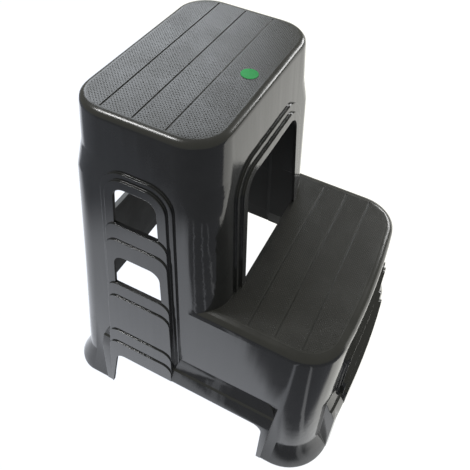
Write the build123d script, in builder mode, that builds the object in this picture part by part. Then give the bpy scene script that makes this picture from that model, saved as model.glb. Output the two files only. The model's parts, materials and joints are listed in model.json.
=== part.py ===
"""Two-tread caravan entry step, moulded in one piece and hollow underneath (millimetres).

The moulding is drawn by one function that takes an inset: drawn at zero it is the
outside, drawn one wall thickness in it is the hollow. X runs across the step,
+Y is the way up, and the origin is on the floor in the middle of the base.
"""

import os
from math import asin, atan, cos, degrees, radians, sin, sqrt, tan

from build123d import *

# Treads and walls
height = 450.0
lower_height = 238.0
tread_width = 235.0
upper_depth = 147.0
lower_depth = 140.0
wall = 3.5
draft = 4.6
riser_draft = 5.6
upper_roll = 7.0
lower_roll = 11.0
roll_bands = 3

# Corners of the body in plan
cap_corner = 38.0
post_corner = 26.0
post_foot_corner = 36.0
back_foot_corner = 21.0
front_corner = 48.0
front_foot_corner = 46.0
shoulder_top = 402.0
shoulder_foot = 372.0
front_bow = 14.0

# Plainer corners and bow inside the hollow
bevel_share = 0.6
corner_flats = 3
bow_flats = 4

# Grooves across the treads
groove_deep = 0.8
groove_width = 1.4
groove_margin = 1.5
upper_groove_pitch = 32.4
upper_groove_back = 35.0
lower_groove_pitch = 31.4
groove_count = 3

# Flared brim along the bottom edge, the feet and the arches between them
brim = 13.5
brim_tall = 38.0
crease_up = 20.0
crease_step = 1.2
brim_lip = 4.0
arch_height = 86.0
arch_corner = 14.0
foot_front = 82.0
foot_back = 73.0
front_foot_lean = 4.0
back_foot_lean = 14.0
foot_side = 66.0
foot_band = 10.0
band_corner = 20.0
band_proud = 0.6

# Stepped panels: two arched frames, then ledges that step out down to the brim
frame_step = 2.5
frame_margin = 6.0
frame_drop = 6.5
frame_corner = 28.0
panel_splay = 2.75
panel_proud = 0.6
ledge_corner = 14.0
arch_top = 394.0
ledges = [330.0, 308.0, 236.0, 214.0, 143.0, 117.0]
back_ledges = [330.0, 236.0, 117.0]
side_panel_half = 51.5
back_panel_half = 92.0
front_arch_top = 200.0
front_ledges = [136.0, 116.0]
front_panel_half = 86.0

# Openings
window_post = 10.0
window_corner = 13.0
window_tall = 48.0
front_window_tall = 44.0
riser_half = 73.0
riser_splay = 4.7
riser_top = 380.0
riser_corner = 20.0
riser_frame = 9.0
riser_frames = 2
riser_sill = 0.5
riser_past = 0.3

# Ribs under the treads
rib = 2.5
rib_deep = 9.0
rib_apart = 72.0
rib_count = 3

# How far a cutter runs past what it cuts, and how far a joined form runs into it
past = 60.0
into = 1.0

lean = tan(radians(draft))
riser_lean = tan(radians(riser_draft))
riser_run = (height - lower_height) * riser_lean
base_half = tread_width / 2 + height * lean + brim
gap_half = base_half - foot_side
foot_flare = brim - band_proud
bow_radius = (base_half**2 + front_bow**2) / (2 * front_bow)
foot_bow_radius = bow_radius + foot_flare
bow_at_foot = foot_bow_radius - sqrt(foot_bow_radius**2 - gap_half**2)
tread_run = upper_depth + riser_run + lower_depth
base_depth = tread_run + (height + lower_height) * lean + 2 * brim - bow_at_foot
back_edge = base_depth / 2 - brim - height * lean
riser_edge = back_edge - upper_depth
front_edge = riser_edge - riser_run - lower_depth


def side_at(z):
    """Half the width of the body at height z."""
    return tread_width / 2 + (height - z) * lean


def back_at(z):
    """Where the back wall stands at height z."""
    return back_edge + (height - z) * lean


def riser_at(z):
    """Where the riser stands at height z."""
    return riser_edge - (height - z) * riser_lean


def front_at(z):
    """Where the wall under the lower tread stands at height z, in its middle."""
    return front_edge - (lower_height - z) * lean


panel_y = (riser_edge + back_edge) / 2
riser_foot = riser_half + lower_height * tan(radians(riser_splay))
side_face = Plane(origin=(0, panel_y, 0), x_dir=(0, -1, 0), z_dir=(-1, 0, 0))
front_face = Plane(origin=(0, panel_y, 0), x_dir=(1, 0, 0), z_dir=(0, -1, 0))
back_face = Plane(origin=(0, panel_y, 0), x_dir=(-1, 0, 0), z_dir=(0, 1, 0))


def flat_corner(x, y, radius, start, turn):
    """Points round a corner of the hollow, which is drawn as a few flats."""
    if radius == 0:
        return [(x, y)]
    points = []
    for count in range(corner_flats + 1):
        angle = radians(start + turn * count / corner_flats)
        points.append((x + radius * cos(angle), y + radius * sin(angle)))
    return points


def plain(z, half, front, back, front_radius, back_radius, bow=0):
    """Plan outline of the hollow at height z, made of flats; bow is the front's radius or zero."""
    tilt = 0
    corner_y = front + front_radius
    bow_points = []
    if bow > 0:
        tilt = degrees(asin((half - front_radius) / (bow - front_radius)))
        corner_y = front + bow - (bow - front_radius) * cos(radians(tilt))
        for count in range(1, bow_flats):
            angle = radians(270 - tilt + 2 * tilt * count / bow_flats)
            bow_points.append((bow * cos(angle), front + bow + bow * sin(angle)))
    points = flat_corner(half - back_radius, back - back_radius, back_radius, 0, 90)
    points += flat_corner(back_radius - half, back - back_radius, back_radius, 90, 90)
    points += flat_corner(front_radius - half, corner_y, front_radius, 180, 90 - tilt)
    points += bow_points
    points += flat_corner(half - front_radius, corner_y, front_radius, 270 + tilt, 90 - tilt)
    with BuildSketch(Plane.XY.offset(z)) as plan:
        with BuildLine():
            Polyline(*points, close=True)
        make_face()
    return plan.sketch


def rounded(z, half, front, back, front_radius, back_radius, inset):
    """Plan outline with straight sides at height z."""
    if inset > 0:
        return plain(z, half, front, back, front_radius, back_radius)
    with BuildSketch(Plane.XY.offset(z)) as plan:
        with Locations((0, (front + back) / 2)):
            Rectangle(2 * half, back - front)
        fillet(plan.vertices().group_by(Axis.Y)[0], front_radius)
        fillet(plan.vertices().group_by(Axis.Y)[-1], back_radius)
    return plan.sketch


def bowed(z, half, front, back, front_radius, back_radius, inset):
    """Plan outline at height z whose front bows outwards, about one upright axis."""
    radius = bow_radius + front_at(0) - front
    if inset > 0:
        return plain(z, half, front, back, front_radius, back_radius, radius)
    corner_y = front + radius - sqrt(radius**2 - half**2)
    with BuildSketch(Plane.XY.offset(z)) as plan:
        with BuildLine():
            Polyline((half, corner_y), (half, back), (-half, back), (-half, corner_y))
            ThreePointArc((-half, corner_y), (0, front), (half, corner_y))
        make_face()
        if front_radius > 0:
            fillet(plan.vertices().group_by(Axis.Y)[0], front_radius)
        if back_radius > 0:
            fillet(plan.vertices().group_by(Axis.Y)[-1], back_radius)
    return plan.sketch


def stacked(outline, sections):
    """Solid through plan outlines that draw in evenly, given as height and how far in."""
    with BuildPart() as stack:
        for (z, inward), (next_z, next_inward) in zip(sections, sections[1:]):
            slope = (next_inward - inward) / (next_z - z)
            extrude(outline(z, inward), next_z - z, taper=degrees(atan(slope)))
    return stack.part


def rolled(edge, roll, bands):
    """Heights and insets of a tread's edge, rolled over in a few bands from height edge."""
    sections = [(edge, 0)]
    for count in range(1, bands + 1):
        turn = radians(90 * count / bands)
        sections.append((edge + roll * sin(turn), roll * (1 - cos(turn))))
    return sections


def arch(face, half, splay, sill, top, corner, plain=False):
    """Upright arch on a face: a straight sill, splayed legs and round top corners.

    The half width is taken on the floor line. Plain arches have bevelled corners.
    """
    slope = tan(radians(splay))
    low = half - sill * slope
    tip = half - top * slope
    with BuildSketch(face) as upright:
        with BuildLine():
            Polyline((-low, sill), (low, sill), (tip, top), (-tip, top), close=True)
        make_face()
        crown = upright.vertices().group_by(Axis.Y)[-1]
        if plain:
            chamfer(crown, bevel_share * corner)
        else:
            fillet(crown, corner)
    return upright.sketch


def panel_levels(top, ledge_heights, inset):
    """List each step of a panel: how far out, its top, its corner and its margin.

    Inside the hollow only the lower ledge of each pair is drawn.
    """
    step = (brim + panel_proud - 2 * frame_step) / len(ledge_heights)
    levels = [(frame_step, top, frame_corner, frame_margin)]
    levels.append((2 * frame_step, top - frame_drop, frame_corner - frame_margin, 0))
    for count, ledge in enumerate(ledge_heights, 1):
        if inset == 0 or count % 2 == 0:
            levels.append((2 * frame_step + count * step, ledge, ledge_corner, 0))
    return levels


def edge_roll(roll, inset):
    """Size of a rolled tread edge and its bands; inside the hollow it is one bevel."""
    if inset == 0:
        return roll, roll_bands
    return bevel_share * (roll - inset), 1


def tower(inset):
    """Left half of the body above the lower tread, with its shoulder and rolled tread edge."""
    lower_edge = lower_height - inset - edge_roll(lower_roll, inset)[0]
    roll, bands = edge_roll(upper_roll, inset)
    edge = height - inset - roll

    def plan(z, front_radius, back_radius):
        half = side_at(z) - inset
        front = riser_at(z) + inset
        back = back_at(z) - inset
        radii = (front_radius - inset, back_radius - inset)
        return rounded(z, half, front, back, *radii, inset)

    def edge_plan(z, inward):
        half = side_at(edge) - inset - inward
        front = riser_at(edge) + inset + inward
        back = back_at(edge) - inset - inward
        radius = cap_corner - inset - inward
        return rounded(z, half, front, back, radius, radius, inset)

    with BuildPart() as form:
        plans = [plan(lower_edge, post_foot_corner, post_corner)]
        plans.append(plan(lower_height, post_foot_corner, post_corner))
        plans.append(plan(shoulder_foot, post_corner, post_corner))
        plans.append(plan(shoulder_top, cap_corner, cap_corner))
        plans.append(edge_plan(edge, 0))
        loft(plans, ruled=True)
        add(stacked(edge_plan, rolled(edge, roll, bands)))
        split(bisect_by=Plane.YZ, keep=Keep.BOTTOM)
    return form.part


def base(inset, floor):
    """Left half of the body up to the lower tread, bowed at the front, with its rolled edge."""
    roll, bands = edge_roll(lower_roll, inset)
    edge = lower_height - inset - roll

    def plan(z):
        share = z / edge
        front_radius = front_foot_corner + share * (front_corner - front_foot_corner) - inset
        back_radius = back_foot_corner + share * (post_corner - back_foot_corner) - inset
        half = side_at(z) - inset
        front = front_at(z) + inset
        return bowed(z, half, front, back_at(z) - inset, front_radius, back_radius, inset)

    def edge_plan(z, inward):
        half = side_at(edge) - inset - inward
        front = front_at(edge) + inset + inward
        return bowed(z, half, front, panel_y, front_corner - inset - inward, 0, inset)

    with BuildPart() as form:
        brim_top = arch_height + brim_tall + into
        loft([plan(floor), plan(brim_top), plan(edge)], ruled=True)
        add(stacked(edge_plan, rolled(edge, roll, bands)))
        split(bisect_by=Plane.YZ, keep=Keep.BOTTOM)
    return form.part


def side_step(inset, floor, out, top, corner, margin):
    """One step of the panel on the left side."""
    half = side_panel_half + margin - inset
    reach = side_at(0) + out - inset
    with BuildPart() as step:
        stencil = arch(side_face, half, panel_splay, floor, top - inset, corner - inset, inset > 0)
        extrude(stencil, 2 * base_half)
        split(bisect_by=Plane(origin=(-reach, 0, 0), z_dir=(-1, 0, lean)), keep=Keep.BOTTOM)
    return step.part


def back_step(inset, floor, out, top, corner, margin):
    """One step of the panel on the back."""
    half = back_panel_half + margin - inset
    reach = back_at(0) + out - inset
    with BuildPart() as step:
        stencil = arch(back_face, half, panel_splay, floor, top - inset, corner - inset, True)
        extrude(stencil, base_depth)
        split(bisect_by=Plane(origin=(0, reach, 0), z_dir=(0, 1, lean)), keep=Keep.BOTTOM)
        split(bisect_by=Plane.YZ, keep=Keep.BOTTOM)
    return step.part


def riser_step(inset, count):
    """One step of the frame round the opening in the riser, counted from the widest."""
    out = count * frame_step
    band = riser_frame * (riser_frames + 1 - count) - inset
    half = riser_foot + band
    corner = riser_corner + band
    reach = riser_at(0) - out + inset
    with BuildPart() as step:
        stencil = arch(front_face, half, riser_splay, 0, riser_top + band, corner, inset > 0)
        extrude(stencil, base_depth)
        split(bisect_by=Plane(origin=(0, reach, 0), z_dir=(0, -1, riser_lean)), keep=Keep.BOTTOM)
        split(bisect_by=Plane.YZ, keep=Keep.BOTTOM)
    return step.part


def front_step(inset, floor, out, top, corner, margin):
    """One step of the panel under the lower tread, following its bow."""
    grow = out - inset
    half = front_panel_half + margin - inset
    with BuildPart() as step:
        plan = bowed(floor, side_at(floor) + grow, front_at(floor) - grow, panel_y, 0, 0, inset)
        extrude(plan, lower_height - floor, taper=draft)
        stencil = arch(front_face, half, panel_splay, floor, top - inset, corner - inset, inset > 0)
        extrude(stencil, base_depth, mode=Mode.INTERSECT)
        split(bisect_by=Plane.YZ, keep=Keep.BOTTOM)
    return step.part


def skirt(inset, flares):
    """Left half of a flared skirt round the base, through heights and how far each flares."""
    low, widest = flares[0]
    top = flares[-1][0]

    def plan(z, inward):
        grow = widest - inset - inward
        front_radius = front_foot_corner + grow + (top - low) * lean
        back_radius = back_foot_corner + grow + (top - low) * lean
        half = side_at(low) + grow
        front = front_at(low) - grow
        return bowed(z, half, front, back_at(low) + grow, front_radius, back_radius, inset)

    sections = []
    for z, out in flares:
        sections.append((z, widest - out + (z - low) * lean))
    with BuildPart() as form:
        add(stacked(plan, sections))
        split(bisect_by=Plane.YZ, keep=Keep.BOTTOM)
    return form.part


def collar(inset, floor):
    """The brim along the arches between the feet, cut away above the feet."""
    lip = arch_height + brim_lip
    crease = arch_height + crease_up
    top = arch_height + brim_tall
    slope = brim / (top - lip)
    crease_out = (top - crease) * slope
    sections = [(floor, brim), (lip, brim)]
    if inset == 0:
        sections.append((crease, crease_out + crease_step))
        sections.append((crease + crease_step, crease_out - crease_step))
    sections.append((top + into / slope, -into))
    side_band = base_half - foot_side + foot_band - inset
    front_band = -base_depth / 2 + foot_front + front_foot_lean - foot_band + inset
    back_band = base_depth / 2 - foot_back + foot_band - inset
    with BuildPart() as corner:
        for band, way in ((front_band, -1), (back_band, 1)):
            far = band + way * base_half
            near = band - way * band_corner
            with BuildSketch(Plane.YZ.offset(-side_band)):
                with BuildLine():
                    Polyline((far, top + past), (far, floor), (band, floor), (band, top - band_corner))
                    RadiusArc((band, top - band_corner), (near, top), -way * band_corner)
                    Polyline((near, top), (near, top + past), (far, top + past))
                make_face()
            extrude(amount=-base_half)
    with BuildPart() as form:
        add(skirt(inset, sections))
        add(corner.part, mode=Mode.SUBTRACT)
    return form.part


def moulding(inset, floor):
    """Left half of the moulded form, drawn a given distance inside the outer surface."""
    foot = [(floor, foot_flare), (brim_lip, foot_flare), (brim_tall + into, -into)]
    with BuildPart() as form:
        add(base(inset, floor))
        add(tower(inset))
        add(collar(inset, floor))
        add(skirt(inset, foot))
        for level in panel_levels(arch_top, ledges, inset):
            add(side_step(inset, floor, *level))
        for level in panel_levels(arch_top, back_ledges, 0):
            add(back_step(inset, floor, *level))
        for level in panel_levels(front_arch_top, front_ledges, inset):
            add(front_step(inset, floor, *level))
        for count in range(1, riser_frames + 1):
            add(riser_step(inset, count))
    return form.part


def foot_gap(face, low, high, low_lean, high_lean):
    """Arch between two feet on a face, with round corners and ends that may lean in."""
    low_tip = low + low_lean
    high_tip = high - high_lean
    outline = [(low, -past), (high, -past), (high, 0), (high_tip, arch_height)]
    outline += [(low_tip, arch_height), (low, 0)]
    with BuildSketch(face) as gap:
        with BuildLine():
            Polyline(*outline, close=True)
        make_face()
        fillet(gap.vertices().group_by(Axis.Y)[-1], arch_corner)
    return gap.sketch


outside = moulding(0, 0)
hollow = moulding(wall, -past)

with BuildPart() as step_body:
    add(outside)
    add(hollow, mode=Mode.SUBTRACT)

    # Grooves across the flat of each tread
    upper_flat = side_at(height) - upper_roll - groove_margin
    with BuildSketch(Plane.XY.offset(height)):
        for count in range(groove_count):
            with Locations((0, back_edge - upper_groove_back - count * upper_groove_pitch)):
                Rectangle(2 * upper_flat, groove_width)
    extrude(amount=-groove_deep, mode=Mode.SUBTRACT)
    lower_flat = side_at(lower_height) - lower_roll - groove_margin
    with BuildSketch(Plane.XY.offset(lower_height)):
        for count in range(groove_count):
            with Locations((0, riser_at(lower_height) - (count + 1) * lower_groove_pitch)):
                Rectangle(2 * lower_flat, groove_width)
    extrude(amount=-groove_deep, mode=Mode.SUBTRACT)

    # Windows in the side, back and front panels, each standing on a ledge
    for sill in (ledges[0], ledges[2]):
        side_half = side_panel_half - window_post
        extrude(
            arch(side_face, side_half, panel_splay, sill, sill + window_tall, window_corner),
            2 * base_half,
            mode=Mode.SUBTRACT,
        )
        back_half = back_panel_half - window_post
        extrude(
            arch(back_face, back_half, panel_splay, sill, sill + window_tall, window_corner, True),
            base_depth,
            mode=Mode.SUBTRACT,
        )
    sill = front_ledges[0]
    front_half = front_panel_half - window_post
    extrude(
        arch(front_face, front_half, panel_splay, sill, sill + front_window_tall, window_corner),
        base_depth,
        mode=Mode.SUBTRACT,
    )

    # Opening through the riser, down to a sill just below the lower tread
    sill = lower_height - riser_sill
    extrude(
        arch(front_face, riser_foot, riser_splay, sill, riser_top, riser_corner),
        panel_y - riser_at(sill) + riser_frames * frame_step + riser_past,
        mode=Mode.SUBTRACT,
    )

    # Arches between the feet
    gap_back = panel_y - base_depth / 2 + foot_back
    gap_front = panel_y + base_depth / 2 - foot_front
    side_gap = foot_gap(side_face, gap_back, gap_front, back_foot_lean, front_foot_lean)
    extrude(side_gap, 2 * base_half, mode=Mode.SUBTRACT)
    for face in (front_face, back_face):
        extrude(foot_gap(face, -gap_half, gap_half, 0, 0), base_depth, mode=Mode.SUBTRACT)

    # Ribs under the treads
    with BuildSketch(Plane.XY.offset(height - wall / 2)):
        with GridLocations(rib_apart, 0, rib_count, 1):
            with Locations((0, panel_y)):
                Rectangle(rib, upper_depth - 2 * upper_roll - wall)
    extrude(amount=-rib_deep)
    with BuildSketch(Plane.XY.offset(lower_height - wall / 2)):
        with GridLocations(rib_apart, 0, rib_count, 1):
            with Locations((0, (riser_at(lower_height) + front_edge) / 2)):
                Rectangle(rib, lower_depth - 2 * lower_roll - wall)
    extrude(amount=-rib_deep)

    # The right half mirrors the left one
    split(bisect_by=Plane.YZ, keep=Keep.BOTTOM)
    mirror(about=Plane.YZ)

os.makedirs("parts", exist_ok=True)
step_body.part.label = "step_body"
export_step(step_body.part, "parts/step_body.step")
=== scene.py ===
# %% [markdown]
# # A caravan entry step
# This lesson dresses one moulded plastic step in Blender. The shape comes from CAD and is fixed.
# What is left for Blender is the look: a glossy dark plastic that mirrors the floor, two grained
# treads that take the light softly, and one small sticker. Everything is in metres. X runs across
# the step, +Y points the way one climbs it, and the floor is at Z = 0.

# %% Load the moulding as a fixed frame
import json
from math import radians

import bmesh
import bpy
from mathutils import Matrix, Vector


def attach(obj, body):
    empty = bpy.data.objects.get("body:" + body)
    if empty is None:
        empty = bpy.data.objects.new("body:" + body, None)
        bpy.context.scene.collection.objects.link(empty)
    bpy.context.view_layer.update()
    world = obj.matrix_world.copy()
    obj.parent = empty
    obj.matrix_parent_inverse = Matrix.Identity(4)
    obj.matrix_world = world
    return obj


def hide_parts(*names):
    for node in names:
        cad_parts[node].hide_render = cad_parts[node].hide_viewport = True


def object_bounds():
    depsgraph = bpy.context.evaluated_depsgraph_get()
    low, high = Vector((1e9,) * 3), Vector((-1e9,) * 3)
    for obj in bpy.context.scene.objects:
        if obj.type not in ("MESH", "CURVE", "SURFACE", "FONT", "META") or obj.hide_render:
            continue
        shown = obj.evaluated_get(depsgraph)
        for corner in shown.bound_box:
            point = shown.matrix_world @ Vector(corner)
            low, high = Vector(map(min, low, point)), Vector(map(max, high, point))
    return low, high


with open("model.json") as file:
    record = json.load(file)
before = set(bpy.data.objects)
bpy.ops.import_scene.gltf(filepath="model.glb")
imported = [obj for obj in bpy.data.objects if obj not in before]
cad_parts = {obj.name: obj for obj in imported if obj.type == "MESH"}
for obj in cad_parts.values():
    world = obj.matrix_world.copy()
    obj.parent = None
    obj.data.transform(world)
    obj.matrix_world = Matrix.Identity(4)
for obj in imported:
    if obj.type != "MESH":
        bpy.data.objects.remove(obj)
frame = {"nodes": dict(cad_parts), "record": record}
cad_low, cad_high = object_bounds()
scene = bpy.context.scene
print("CAD box", [round(v, 4) for v in cad_low], [round(v, 4) for v in cad_high])

# %% [markdown]
# ## The camera
# The straight grooves of both treads and the upright walls give the place of the camera: about
# 0.7 m above the floor, to the left of the step, looking down at 50 degrees with a little roll.
# A camera could be aimed with a constraint, but a solved view is simplest as three angles.

# %% Camera at the solved viewpoint
SENSOR_WIDTH = 36.0
LENS = 38.4606
VIEW_PLACE = (-0.3829, -0.13949, 0.71208)
VIEW_ANGLES = (39.7968, -3.4304, -63.4603)
camera_data = bpy.data.cameras.new("viewpoint")
camera_data.sensor_width = SENSOR_WIDTH
camera_data.lens = LENS
camera = bpy.data.objects.new("viewpoint", camera_data)
camera.location = VIEW_PLACE
camera.rotation_euler = [radians(angle) for angle in VIEW_ANGLES]
scene.collection.objects.link(camera)
scene.camera = camera
scene.view_settings.view_transform = "Standard"
print("camera at", tuple(round(v, 3) for v in camera.location))

# %% [markdown]
# ## Node helpers
# Every material and node tree below is built in code, and a few small helpers keep that readable.
# The first two set or link an input and add a node. The others each stand for one node that is
# needed again and again: plain maths, vector maths, a smooth band and a mix of two colours.

# %% Helpers that add and link nodes
def feed(tree, socket, value):
    """Link a socket to an output, or set its own value."""
    if isinstance(value, bpy.types.NodeSocket):
        tree.links.new(value, socket)
    else:
        socket.default_value = value


def add_node(tree, kind, inputs=None, **settings):
    """Add a node, give it its settings and feed its inputs by name or number."""
    node = tree.nodes.new(kind)
    for name, value in settings.items():
        setattr(node, name, value)
    for name, value in (inputs or {}).items():
        feed(tree, node.inputs[name], value)
    return node


# %% Helpers for single nodes
def maths(tree, operation, *values):
    """One maths node on one to three values; gives its output."""
    return add_node(tree, "ShaderNodeMath", dict(enumerate(values)), operation=operation).outputs[0]


def vector_maths(tree, operation, *values, gives="Vector"):
    """One vector maths node; gives its vector, or its value where that is asked for."""
    node = add_node(tree, "ShaderNodeVectorMath", dict(enumerate(values)), operation=operation)
    return node.outputs[gives]


def band(tree, value, start, end):
    """Goes smoothly from 0 to 1 while value goes from start to end."""
    span = {"Value": value, "From Min": start, "From Max": end}
    node = add_node(tree, "ShaderNodeMapRange", span, interpolation_type="SMOOTHSTEP")
    return node.outputs["Result"]


def mix_colours(tree, share, first, second):
    """Goes from the first colour to the second while share goes from 0 to 1."""
    inputs = {"Factor": share, 6: first, 7: second}
    return add_node(tree, "ShaderNodeMix", inputs, data_type="RGBA").outputs[2]


# %% [markdown]
# ## The floor
# A pale floor does half of the work on glossy plastic, because every wall of the step leans back
# a little and mirrors it. It is bright as far as the picture reaches and dark beyond, towards the
# camera and to the left: that is why the upper half of the left wall looks nearly black and the
# lower half grey. It could be a lit sheet of paper, but a floor that glows by itself stays evenly
# white. The fade reads the floor's own Object coordinates along two directions. Three pale strips
# in the dark part stand for the thin light lines that the rounded corners mirror.

# %% Pale floor as a plain sheet
FLOOR_HALF = 4.0
floor_mesh = bpy.data.meshes.new("floor")
corners = [(-FLOOR_HALF, -FLOOR_HALF, 0), (FLOOR_HALF, -FLOOR_HALF, 0)]
corners += [(FLOOR_HALF, FLOOR_HALF, 0), (-FLOOR_HALF, FLOOR_HALF, 0)]
floor_mesh.from_pydata(corners, [], [(0, 1, 2, 3)])
floor = bpy.data.objects.new("floor", floor_mesh)
scene.collection.objects.link(floor)
print("floor", 2 * FLOOR_HALF, "m wide")

# %% Where the floor turns dark
NEAR_SIDE = (-0.887, -0.461, 0.0)
LEFT_SIDE = (-0.681, 0.732, 0.0)
NEAR_FADE = (0.2185, 0.2500)
NEAR_SLANT = -0.22
glowing_floor = bpy.data.materials.new("glowing_floor")
glowing_floor.use_nodes = True
tree = glowing_floor.node_tree
spot = add_node(tree, "ShaderNodeTexCoord").outputs["Object"]
near_reach = vector_maths(tree, "DOT_PRODUCT", spot, NEAR_SIDE, gives="Value")
left_reach = vector_maths(tree, "DOT_PRODUCT", spot, LEFT_SIDE, gives="Value")
slant = maths(tree, "MULTIPLY", maths(tree, "MAXIMUM", left_reach, 0.0), NEAR_SLANT)
near_fade = band(tree, maths(tree, "ADD", near_reach, slant), *NEAR_FADE)
print("floor turns dark", NEAR_FADE, "m towards the camera")

# %% Pale strips in the dark part
# Each strip has the direction across it, its distance from the middle and its width.
STRIPS = (
    ((0.23, 0.97, 0.0), -0.085, 0.016),
    ((0.30, -0.95, 0.0), 0.038, 0.012),
    ((0.55, -0.83, 0.0), 0.073, 0.012),
)
STRIP_CORE = 0.4
STRIP_LIGHT = 0.6
STRIP_END = (0.55, 0.70)
strip_end = band(tree, vector_maths(tree, "LENGTH", spot, gives="Value"), *STRIP_END)
for across, offset, width in STRIPS:
    reach = vector_maths(tree, "DOT_PRODUCT", spot, across, gives="Value")
    gap = maths(tree, "ABSOLUTE", maths(tree, "SUBTRACT", reach, offset))
    off_strip = maths(tree, "MAXIMUM", band(tree, gap, STRIP_CORE * width, width), strip_end)
    dimming = maths(tree, "MULTIPLY_ADD", off_strip, STRIP_LIGHT, 1.0 - STRIP_LIGHT)
    near_fade = maths(tree, "MULTIPLY", near_fade, dimming)
print("strips", len(STRIPS))

# %% Colours of the floor
LEFT_FADE = (0.455, 0.625)
COOL_FADE = (-0.2, 0.1)
PALE_WARM = (1.12, 1.11, 1.05, 1)
PALE_COOL = (1.00, 1.035, 1.11, 1)
LEFT_DARK = (0.25, 0.265, 0.30, 1)
NEAR_DARK = (0.168, 0.173, 0.192, 1)
UNLIT = (0.01, 0.01, 0.01, 1)
pale = mix_colours(tree, band(tree, left_reach, *COOL_FADE), PALE_WARM, PALE_COOL)
left_shade = mix_colours(tree, band(tree, left_reach, *LEFT_FADE), pale, LEFT_DARK)
shade = mix_colours(tree, near_fade, left_shade, NEAR_DARK)
# The floor glows by itself: its emission is painted light, evenly bright where the picture reaches, with
# painted dark zones and pale strips beyond it for the walls and rounded corners to mirror.
floor_glow = tree.nodes["Principled BSDF"]
floor_glow.inputs["Roughness"].default_value = 0.9
floor_glow.inputs["Specular IOR Level"].default_value = 0.0
floor_glow.inputs["Base Color"].default_value = UNLIT
feed(tree, floor_glow.inputs["Emission Color"], shade)
floor_glow.inputs["Emission Strength"].default_value = 1.0
floor_mesh.materials.append(glowing_floor)
print("material", glowing_floor.name, "has", len(tree.nodes), "nodes")

# %% [markdown]
# ## The light
# Plain soft studio light: a wide panel high behind the step, which the upper tread mirrors towards
# the camera, a lower one in front on the right for the rolled edges and the lower tread, and a small
# lamp overhead that draws the bright line along the left edge of the upper tread. Point lamps would
# be simpler, but area lights give both soft light and the shape of the reflection.

# %% Area lights
def area_light(name, place, aim, size, power):
    """An area light at a place, aimed at a point."""
    data = bpy.data.lights.new(name, "AREA")
    data.shape = "RECTANGLE"
    data.size, data.size_y = size
    data.energy = power
    light = bpy.data.objects.new(name, data)
    light.location = place
    light.rotation_euler = (Vector(aim) - Vector(place)).to_track_quat("-Z", "Y").to_euler()
    scene.collection.objects.link(light)
    return light


TREAD_CENTRE = (0.0, 0.07, 0.45)
DAYLIGHT = (0.93, 0.985, 1.06)
wide_panel = area_light("wide_panel", (1.45, 1.38, 1.66), TREAD_CENTRE, (1.60, 1.00), 16.2)
wide_panel.data.color = DAYLIGHT
area_light("low_panel", (2.05, -0.85, 1.15), TREAD_CENTRE, (1.20, 0.45), 17.0)
area_light("overhead_lamp", (-0.35, 1.05, 2.2), TREAD_CENTRE, (0.22, 0.6), 14.0)

# %% A dim room around the step
ROOM_COLOUR = (0.33, 0.33, 0.285, 1)
room = bpy.data.worlds.new("room")
room.use_nodes = True
room.node_tree.nodes["Background"].inputs["Color"].default_value = ROOM_COLOUR
room.node_tree.nodes["Background"].inputs["Strength"].default_value = 1.0
scene.world = room
print("room", ROOM_COLOUR[:3])

# %% [markdown]
# ## Unevenness shared by the finishes
# Moulded plastic is never quite even. The surface waves slightly where it shrank, faint upright
# flow lines follow the way the mould opens, an etched face has a fine grain, and handling leaves
# patches that are a little less glossy. Each material could have its own copy of these effects,
# but in one node group they are built once, and each finish sets its own strength of them.

# %% Node group: sockets of the moulded surface
surface_group = bpy.data.node_groups.new("moulded_surface", "ShaderNodeTree")
face = surface_group.interface
for name in ("Wave", "Flow", "Grain"):
    face.new_socket(name=name, in_out="INPUT", socket_type="NodeSocketFloat")
for name in ("Height", "Patches"):
    face.new_socket(name=name, in_out="OUTPUT", socket_type="NodeSocketFloat")
print("group", surface_group.name, "has", len(face.items_tree), "sockets")

# %% Node group: noise at four scales
WAVE_SCALE = 18.0
FLOW_STRETCH = (70.0, 70.0, 0.7)
GRAIN_SCALE = 900.0
PATCHES = {"Scale": 26.0, "Detail": 5.0, "Roughness": 0.65}
PATCH_BAND = (0.35, 0.7)
tree = surface_group
given = add_node(tree, "NodeGroupInput").outputs
place = add_node(tree, "ShaderNodeTexCoord").outputs["Object"]
upright = add_node(tree, "ShaderNodeMapping", {"Vector": place, "Scale": FLOW_STRETCH}).outputs[0]


def noise(vector, **inputs):
    """Noise of the moulded surface at a place; gives its value."""
    return add_node(tree, "ShaderNodeTexNoise", {"Vector": vector, **inputs}).outputs[0]


wave_height = maths(tree, "MULTIPLY", noise(place, Scale=WAVE_SCALE, Detail=1.0), given["Wave"])
flow_height = maths(tree, "MULTIPLY_ADD", noise(upright, Scale=1.0, Detail=1.0), given["Flow"], wave_height)
grain_height = maths(tree, "MULTIPLY", noise(place, Scale=GRAIN_SCALE, Detail=1.0), given["Grain"])
result = add_node(tree, "NodeGroupOutput")
feed(tree, result.inputs["Height"], maths(tree, "ADD", flow_height, grain_height))
feed(tree, result.inputs["Patches"], band(tree, noise(place, **PATCHES), *PATCH_BAND))
print("group", surface_group.name, "puts out", [s.name for s in result.inputs if s.name])


# %% A helper that places the group in a material
def uneven(tree, wave, flow, grain):
    """The moulded surface with its own strengths; gives its outputs."""
    surface = add_node(tree, "ShaderNodeGroup", node_tree=surface_group)
    surface.inputs["Wave"].default_value = wave
    surface.inputs["Flow"].default_value = flow
    surface.inputs["Grain"].default_value = grain
    return surface.outputs


# %% [markdown]
# ## The plastic
# The real moulding is anthracite plastic: nearly black and glossy on the walls, duller on the
# treads, where the mould was etched, half dull on the rolled edges around them, and matt inside.
# Inside, its colour is also darker, as painted shade for the unlit inside of the step. All four are
# the same plastic with another roughness and tone, so one function makes them. A dull finish could
# also be painted with a mask, but the finishes end at clear lines, so a material of their own on
# those faces is simpler. The corners of the steps and windows are finer than the mesh: a Bevel node
# in the material rounds them where the light falls on them.

# %% A function for anthracite plastic
EDGE_ROUND = 0.0009
EDGE_SAMPLES = 6


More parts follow.
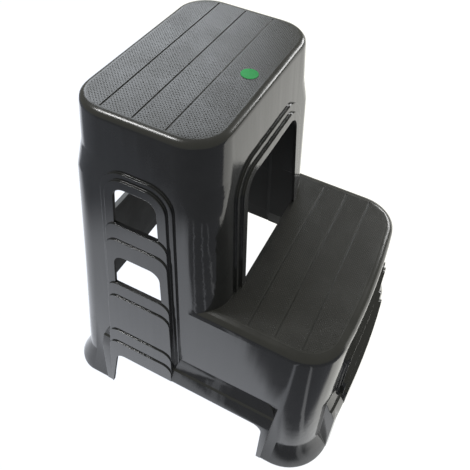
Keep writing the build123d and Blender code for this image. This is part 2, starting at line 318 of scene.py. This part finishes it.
def plastic(name, dark, light, gloss, gloss_spread, wave, flow, grain, shine=0.8):
    """Anthracite plastic between two tones, with a roughness that varies in patches."""
    material = bpy.data.materials.new(name)
    material.use_nodes = True
    tree = material.node_tree
    surface = uneven(tree, wave, flow, grain)
    patches = surface["Patches"]
    shell = tree.nodes["Principled BSDF"]
    shell.inputs["Specular IOR Level"].default_value = shine
    feed(tree, shell.inputs["Roughness"], maths(tree, "MULTIPLY_ADD", patches, gloss_spread, gloss))
    feed(tree, shell.inputs["Base Color"], mix_colours(tree, patches, (*dark, 1), (*light, 1)))
    soft_edge = add_node(tree, "ShaderNodeBevel", {"Radius": EDGE_ROUND}, samples=EDGE_SAMPLES)
    relief = {"Height": surface["Height"], "Distance": 1.0, "Normal": soft_edge.outputs[0]}
    feed(tree, shell.inputs["Normal"], add_node(tree, "ShaderNodeBump", relief).outputs[0])
    return material


# %% Glossy walls and etched treads
wall_plastic = plastic(
    "wall_plastic",
    dark=(0.026, 0.027, 0.029),
    light=(0.031, 0.032, 0.034),
    gloss=0.09,
    gloss_spread=0.05,
    wave=0.00012,
    flow=0.00030,
    grain=0.00002,
)
tread_plastic = plastic(
    "tread_plastic",
    dark=(0.030, 0.030, 0.030),
    light=(0.036, 0.036, 0.035),
    gloss=0.30,
    gloss_spread=0.08,
    wave=0.0004,
    flow=0.0,
    grain=0.00010,
)
print("materials", wall_plastic.name, tread_plastic.name)

# %% Matt inside with painted shade, and half dull rolled edges
# The inside plastic is matt, and its darker colour is painted shade for the unlit inside of the step.
shaded_inner_plastic = plastic(
    "shaded_inner_plastic",
    dark=(0.012, 0.012, 0.011),
    light=(0.015, 0.015, 0.014),
    gloss=0.55,
    gloss_spread=0.10,
    wave=0.0004,
    flow=0.0,
    grain=0.00004,
    shine=0.06,
)
edge_plastic = plastic(
    "edge_plastic",
    dark=(0.028, 0.028, 0.028),
    light=(0.034, 0.034, 0.033),
    gloss=0.20,
    gloss_spread=0.06,
    wave=0.0004,
    flow=0.0,
    grain=0.00003,
)
print("materials", shaded_inner_plastic.name, edge_plastic.name)

# %% [markdown]
# ## The moulding
# The CAD node arrives as loose triangles, which shade as flat facets. They could be shaded flat on a
# finer mesh, but a copy whose triangles are joined can be shaded smooth, with edges kept sharp
# wherever two faces meet at a clear angle. The materials go on the copy before its faces are
# numbered, because clearing them later would set every face back to the first one.

# %% Weld the moulding and keep its clear edges sharp
MERGE_DISTANCE = 1e-6
EDGE_ANGLE = radians(34)
FINISHES = (wall_plastic, tread_plastic, shaded_inner_plastic, edge_plastic)
cad_step = frame["nodes"]["step_body"]
step_mesh = cad_step.data.copy()
step_mesh.name = "moulded_step"
step_mesh.materials.clear()
for finish in FINISHES:
    step_mesh.materials.append(finish)
if "custom_normal" in step_mesh.attributes:
    step_mesh.attributes.remove(step_mesh.attributes["custom_normal"])
weld = bmesh.new()
weld.from_mesh(step_mesh)
bmesh.ops.remove_doubles(weld, verts=weld.verts, dist=MERGE_DISTANCE)
for edge in weld.edges:
    edge.smooth = edge.calc_face_angle(0.0) < EDGE_ANGLE
print("sharp edges", sum(not edge.smooth for edge in weld.edges), "of", len(weld.edges))

# %% [markdown]
# ## A finish for each face, and painted shade inside
# The treads and their rolled edges have their own finish on the real step, and the inside is matt
# and painted darker as painted shade. They could be picked by hand in Edit Mode, but a rule finds
# them again after every change of the CAD: the inside looks towards the middle or down, a rolled
# edge lies just below a tread and looks up, and a tread is level. The level faces are kept for the
# grain that comes later.

# %% The rule for one face
mount_places = {mount["name"]: mount["pos_m"] for mount in frame["record"]["mounts"]}
TREAD_HEIGHTS = (cad_high.z, mount_places["lower_tread"][2])
LEVEL = 1e-5
MIDDLE = Vector((0.0, 0.03, 0.0))
INWARD = -0.03
DOWNWARD = -0.7
UPWARD = 0.3
NEARLY_LEVEL = 0.98
FULLY_LEVEL = 0.99
ROLL_DEPTH = 0.009


def finish_of(patch, centre, depth):
    """The finish of a face, from where it looks and how far below a tread it lies."""
    if depth < ROLL_DEPTH and patch.normal.z > UPWARD:
        return tread_plastic if patch.normal.z > NEARLY_LEVEL else edge_plastic
    # Faces that look towards the middle or down take the painted shade of the inside.
    outward = (centre - MIDDLE).to_2d().dot(patch.normal.to_2d())
    if outward < INWARD or patch.normal.z < DOWNWARD:
        return shaded_inner_plastic
    return wall_plastic


# %% Give every face its finish
tread_faces = []
for patch in weld.faces:
    patch.smooth = True
    centre = patch.calc_center_median()
    depth = min(height - centre.z for height in TREAD_HEIGHTS if height > centre.z - LEVEL)
    patch.material_index = FINISHES.index(finish_of(patch, centre, depth))
    if depth < LEVEL and patch.normal.z > FULLY_LEVEL:
        tread_faces.append([vertex.co.copy() for vertex in patch.verts])
weld.to_mesh(step_mesh)
weld.free()
print("tread faces", len(tread_faces))

# %% [markdown]
# ## The step as one piece
# Smooth shading alone would bend the light on the large flat walls beside their rounded edges. More
# edge loops would help, but the Weighted Normal modifier does it without new faces: it lets the
# large faces decide how the surface looks.

# %% The moulded step as a smooth mesh
moulded_step = bpy.data.objects.new("moulded_step", step_mesh)
scene.collection.objects.link(moulded_step)
flat_walls = moulded_step.modifiers.new("flat_walls", "WEIGHTED_NORMAL")
flat_walls.keep_sharp = True
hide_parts("step_body")
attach(moulded_step, "root")
print("moulded step", len(step_mesh.polygons), "triangles")

# %% [markdown]
# ## The grain of the treads
# Both treads carry a fine relief against slipping: small pips in diagonal rows, a few millimetres
# apart, which stop short of the grooves and the edges. A bump texture could draw them, but it would
# be missing from the mesh. Thousands of like shapes are what Geometry Nodes are for. A turned grid
# of points is dropped on the tread with Raycast, points too near an edge are deleted by their
# distance to it, and a low six-sided cone is set on each one that is left.

# %% Geometry nodes: sizes of the pips
PIP_SIZES = {"Pitch": 0.0024, "Radius": 0.0009, "Height": 0.00022, "Margin": 0.0013}
pips = bpy.data.node_groups.new("tread_pips", "GeometryNodeTree")
face = pips.interface
face.new_socket(name="Geometry", in_out="INPUT", socket_type="NodeSocketGeometry")
for name, value in PIP_SIZES.items():
    face.new_socket(name=name, in_out="INPUT", socket_type="NodeSocketFloat").default_value = value
face.new_socket(name="Finish", in_out="INPUT", socket_type="NodeSocketMaterial")
face.new_socket(name="Geometry", in_out="OUTPUT", socket_type="NodeSocketGeometry")
given = add_node(pips, "NodeGroupInput").outputs
print("tree", pips.name, "takes", [s.name for s in given if s.name])

# %% Geometry nodes: a turned grid above the tread
ROW_TURN = radians(45)
DROP = 0.01
flat = given["Geometry"]
box = add_node(pips, "GeometryNodeBoundBox", {"Geometry": flat}).outputs
both = vector_maths(pips, "ADD", box["Min"], box["Max"])
middle = add_node(pips, "ShaderNodeVectorMath", {0: both, "Scale": 0.5}, operation="SCALE").outputs[0]
above = vector_maths(pips, "ADD", middle, (0, 0, DROP))
span = vector_maths(pips, "DISTANCE", box["Min"], box["Max"], gives="Value")
rows = maths(pips, "DIVIDE", span, given["Pitch"])
grid_inputs = {"Size X": span, "Size Y": span, "Vertices X": rows, "Vertices Y": rows}
grid = add_node(pips, "GeometryNodeMeshGrid", grid_inputs).outputs["Mesh"]
turned_inputs = {"Geometry": grid, "Translation": above, "Rotation": (0, 0, ROW_TURN)}
turned = add_node(pips, "GeometryNodeTransform", turned_inputs).outputs["Geometry"]
print("grid turned by", round(ROW_TURN, 3), "radians")

# %% Geometry nodes: keep the points that land clear of an edge
SEATED = 0.00005
ray = add_node(pips, "GeometryNodeRaycast", {"Target Geometry": flat, "Ray Length": 2 * DROP}).outputs
face_count = add_node(pips, "GeometryNodeInputMeshEdgeNeighbors").outputs["Face Count"]
is_rim = add_node(pips, "FunctionNodeCompare", {2: face_count, 3: 1}, data_type="INT", operation="EQUAL")
rim_inputs = {"Geometry": flat, "Selection": is_rim.outputs[0]}
rim = add_node(pips, "GeometryNodeSeparateGeometry", rim_inputs, domain="EDGE").outputs["Selection"]
near_inputs = {0: rim, "Sample Position": ray["Hit Position"]}
near = add_node(pips, "GeometryNodeProximity", near_inputs, target_element="EDGES").outputs["Distance"]
inside = add_node(pips, "FunctionNodeCompare", {0: near, 1: given["Margin"]}, operation="GREATER_THAN")
keep_inputs = {0: ray["Is Hit"], 1: inside.outputs[0]}
keep = add_node(pips, "FunctionNodeBooleanMath", keep_inputs, operation="AND").outputs[0]
kept_inputs = {"Geometry": turned, "Selection": keep}
kept = add_node(pips, "GeometryNodeSeparateGeometry", kept_inputs).outputs["Selection"]
seat_inputs = {"Geometry": kept, "Offset": (0, 0, -DROP - SEATED)}
seat = add_node(pips, "GeometryNodeSetPosition", seat_inputs).outputs["Geometry"]
print("pips sit", SEATED, "m deep in the tread")

# %% Geometry nodes: a low cone on each point
PIP_SIDES = 6
SMALLEST = 0.85
LARGEST = 1.1
SEED = 3
cone_inputs = {"Vertices": PIP_SIDES, "Radius Top": 0.0}
cone_inputs |= {"Radius Bottom": given["Radius"], "Depth": given["Height"]}
cone = add_node(pips, "GeometryNodeMeshCone", cone_inputs, fill_type="NGON").outputs["Mesh"]
size_inputs = {2: SMALLEST, 3: LARGEST, "Seed": SEED}
size = add_node(pips, "FunctionNodeRandomValue", size_inputs, data_type="FLOAT").outputs[1]
set_inputs = {"Points": seat, "Instance": cone, "Scale": size}
placed = add_node(pips, "GeometryNodeInstanceOnPoints", set_inputs).outputs["Instances"]
solid = add_node(pips, "GeometryNodeRealizeInstances", {"Geometry": placed}).outputs["Geometry"]
finish_inputs = {"Geometry": solid, "Material": given["Finish"]}
finished = add_node(pips, "GeometryNodeSetMaterial", finish_inputs).outputs["Geometry"]
feed(pips, add_node(pips, "NodeGroupOutput").inputs["Geometry"], finished)
print("tree", pips.name, "has", len(pips.nodes), "nodes")

# %% [markdown]
# ## Pips on both treads
# The tree needs a flat sheet of each tread to work on. It could take the whole moulding, but then
# every wall would be searched too, so the level faces that were kept above are joined to a sheet.
# The result is turned into a plain mesh, and the sheet is thrown away.


# %% A joined sheet of flat faces
def flat_sheet(name, outlines):
    """An object of the given flat outlines, joined where they meet."""
    sheet_mesh = bpy.data.meshes.new(name)
    points = [tuple(point) for outline in outlines for point in outline]
    faces = []
    start = 0
    for outline in outlines:
        faces.append(tuple(range(start, start + len(outline))))
        start += len(outline)
    sheet_mesh.from_pydata(points, [], faces)
    joined = bmesh.new()
    joined.from_mesh(sheet_mesh)
    bmesh.ops.remove_doubles(joined, verts=joined.verts, dist=MERGE_DISTANCE)
    joined.to_mesh(sheet_mesh)
    joined.free()
    sheet = bpy.data.objects.new(name, sheet_mesh)
    scene.collection.objects.link(sheet)
    return sheet


# %% Run the tree on a sheet
def input_key(group, name):
    """Identifier of a named input of a node tree."""
    inputs = [s for s in group.interface.items_tree if s.in_out == "INPUT"]
    return next(s.identifier for s in inputs if s.name == name)


def pips_on(name, outlines):
    """A plain mesh of pips on the given flat outlines."""
    carrier = flat_sheet(name + "_flat", outlines)
    maker = carrier.modifiers.new("pips", "NODES")
    maker.node_group = pips
    maker[input_key(pips, "Finish")] = tread_plastic
    evaluated = carrier.evaluated_get(bpy.context.evaluated_depsgraph_get())
    pip_mesh = bpy.data.meshes.new_from_object(evaluated)
    carrier.modifiers.remove(maker)
    bpy.data.objects.remove(carrier)
    pip_mesh.name = name
    piece = bpy.data.objects.new(name, pip_mesh)
    scene.collection.objects.link(piece)
    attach(piece, "root")
    heights = [vertex.co.z for vertex in pip_mesh.vertices]
    print(name, len(pip_mesh.polygons), "faces from", round(min(heights), 5), "to", round(max(heights), 5))


for name, height in zip(("upper_tread_grain", "lower_tread_grain"), TREAD_HEIGHTS):
    pips_on(name, [outline for outline in tread_faces if abs(outline[0].z - height) < 10 * LEVEL])

# %% [markdown]
# ## The sticker
# A small bare dot of green film sits near the front of the upper tread. A Circle with a Solidify
# modifier would do, but in bmesh the disc gets its thickness and its place at once. It lies on the
# pips, and a small Bevel rounds its rim. The film is a little wavy and uneven in colour.

# %% Green film
FILM_DARK = (0.008, 0.30, 0.060, 1)
FILM_LIGHT = (0.030, 0.42, 0.110, 1)
film = bpy.data.materials.new("sticker_film")
film.use_nodes = True
tree = film.node_tree
surface = uneven(tree, wave=0.0010, flow=0.0, grain=0.00003)
skin = tree.nodes["Principled BSDF"]
skin.inputs["Roughness"].default_value = 0.45
skin.inputs["Specular IOR Level"].default_value = 0.25
feed(tree, skin.inputs["Base Color"], mix_colours(tree, surface["Patches"], FILM_DARK, FILM_LIGHT))
relief = add_node(tree, "ShaderNodeBump", {"Height": surface["Height"], "Distance": 1.0})
feed(tree, skin.inputs["Normal"], relief.outputs[0])
print("material", film.name, "has", len(tree.nodes), "nodes")

# %% Green sticker
STICKER_CENTRE = (0.001, 0.0195)
STICKER_RADIUS = 0.0086
STICKER_LIFT = 0.00018
STICKER_THICK = 0.00018
STICKER_SIDES = 48
dot = bmesh.new()
bmesh.ops.create_circle(dot, cap_ends=True, segments=STICKER_SIDES, radius=STICKER_RADIUS)
lifted = bmesh.ops.extrude_face_region(dot, geom=list(dot.faces))
top = [part for part in lifted["geom"] if isinstance(part, bmesh.types.BMVert)]
bmesh.ops.translate(dot, verts=top, vec=(0, 0, STICKER_THICK))
bmesh.ops.translate(dot, verts=dot.verts, vec=(*STICKER_CENTRE, cad_high.z + STICKER_LIFT))
bmesh.ops.recalc_face_normals(dot, faces=dot.faces)
sticker_mesh = bpy.data.meshes.new("sticker")
dot.to_mesh(sticker_mesh)
dot.free()
sticker_mesh.materials.append(film)
sticker = bpy.data.objects.new("sticker", sticker_mesh)
scene.collection.objects.link(sticker)
sticker_rim = sticker.modifiers.new("rim", "BEVEL")
sticker_rim.width = STICKER_THICK / 3
sticker_rim.segments = 2
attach(sticker, "root")
print("sticker", len(sticker_mesh.polygons), "faces")
